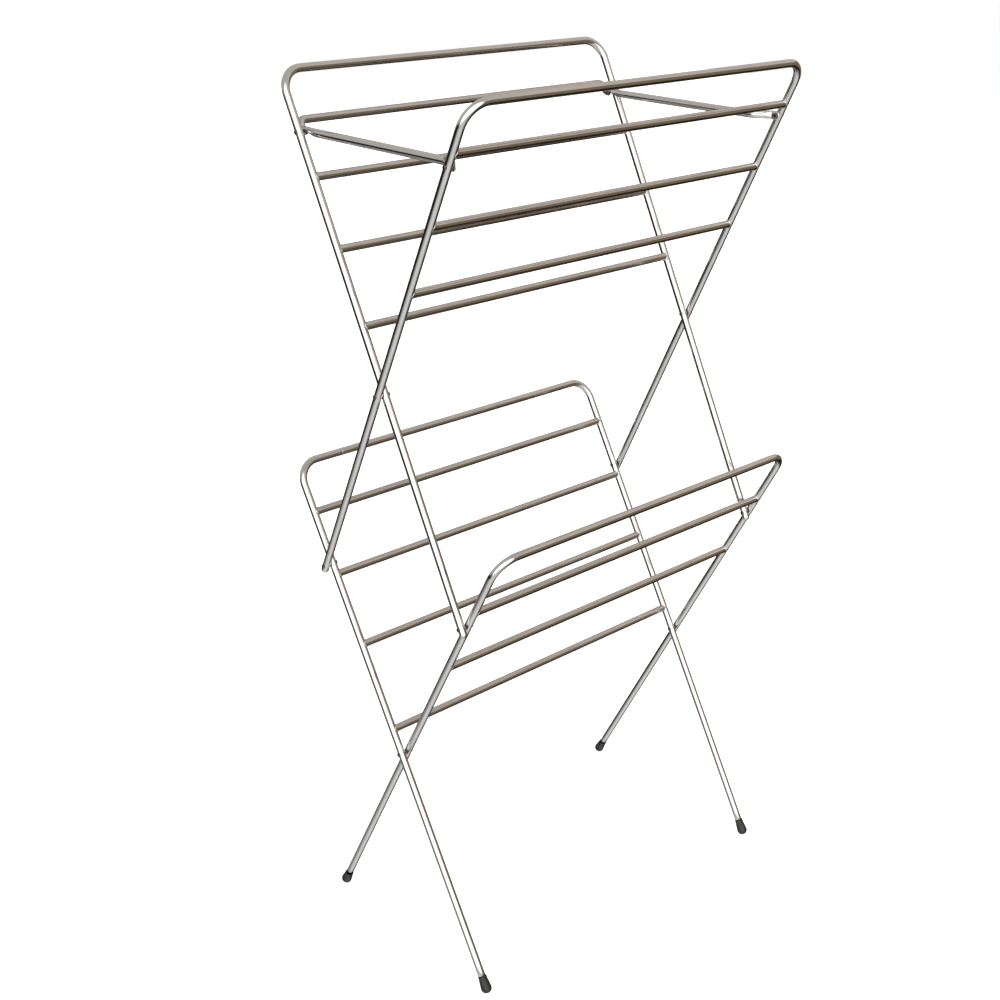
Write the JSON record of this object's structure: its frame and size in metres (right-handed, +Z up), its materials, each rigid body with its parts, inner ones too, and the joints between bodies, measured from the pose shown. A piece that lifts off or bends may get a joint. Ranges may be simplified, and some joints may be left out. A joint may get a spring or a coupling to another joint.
{
  "type": "clothes drying rack",
  "caption": "Free-standing folding clothes airer of bent steel tube: two stacked scissor pairs of U frames with welded drying rungs and a spreader stay.",
  "frame": {"origin": "on the floor, under the middle of the rack's bounding box", "axes": "+X along the drying bars, +Y towards the rear, +Z up"},
  "size_m": [0.6719, 0.4706, 1.3802],
  "materials": {
    "tube_steel": "polished stainless tube, faint grain round the tube",
    "rivet_steel": "plain steel rivet",
    "cap_rubber": "matte moulded rubber"
  },
  "bodies": {
    "lower_rear": {"lower_rear_frame": "tube_steel", "lower_rear_rung_1": "tube_steel", "lower_rear_rung_2": "tube_steel", "lower_rear_rung_3": "tube_steel", "lower_rear_rung_4": "tube_steel", "lower_cross_rivet_left": "rivet_steel", "lower_cross_rivet_right": "rivet_steel", "rear_pivot_rivet_left": "rivet_steel", "rear_pivot_rivet_right": "rivet_steel", "front_foot_cap_left": "cap_rubber", "front_foot_cap_right": "cap_rubber"},
    "lower_front": {"lower_front_frame": "tube_steel", "lower_front_rung_1": "tube_steel", "lower_front_rung_2": "tube_steel", "front_pivot_rivet_left": "rivet_steel", "front_pivot_rivet_right": "rivet_steel", "rear_foot_cap_left": "cap_rubber", "rear_foot_cap_right": "cap_rubber"},
    "upper_front": {"upper_front_frame": "tube_steel", "upper_front_rung_1": "tube_steel", "upper_front_rung_2": "tube_steel", "upper_front_rung_3": "tube_steel", "upper_cross_rivet_left": "rivet_steel", "upper_cross_rivet_right": "rivet_steel", "stay_hinge_rivet_left": "rivet_steel", "stay_hinge_rivet_right": "rivet_steel"},
    "upper_rear": {"upper_rear_frame": "tube_steel", "upper_rear_rung_1": "tube_steel", "upper_rear_rung_2": "tube_steel", "upper_rear_rung_3": "tube_steel", "stay_pin_left": "rivet_steel", "stay_pin_right": "rivet_steel"},
    "stay": {"spreader_stay": "tube_steel"}
  },
  "joints": [
    {"name": "fold", "type": "hinge", "parent": "lower_rear", "child": "lower_front", "pos_m": [0, -0.00583, 0.356], "axis": [-1, 0, 0], "range_deg": [0, 33]},
    {"name": "rear_pivot", "type": "hinge", "parent": "lower_rear", "child": "upper_front", "pos_m": [0, 0.14973, 0.63583], "axis": [-1, 0, 0], "range_deg": [0, 31.42]},
    {"name": "upper_cross", "type": "hinge", "parent": "upper_front", "child": "upper_rear", "pos_m": [0, -0.00583, 0.951], "axis": [1, 0, 0], "range_deg": [0, 29.83]},
    {"name": "stay_lift", "type": "hinge", "parent": "upper_front", "child": "stay", "pos_m": [0, -0.17468, 1.2931], "axis": [1, 0, 0], "range_deg": [0, 28.06]}
  ],
  "couplings": [
    {"joint": "rear_pivot", "follows": "fold", "ratio": 0.9518},
    {"joint": "upper_cross", "follows": "fold", "ratio": 0.9037},
    {"joint": "stay_lift", "follows": "fold", "ratio": 0.85}
  ]
}
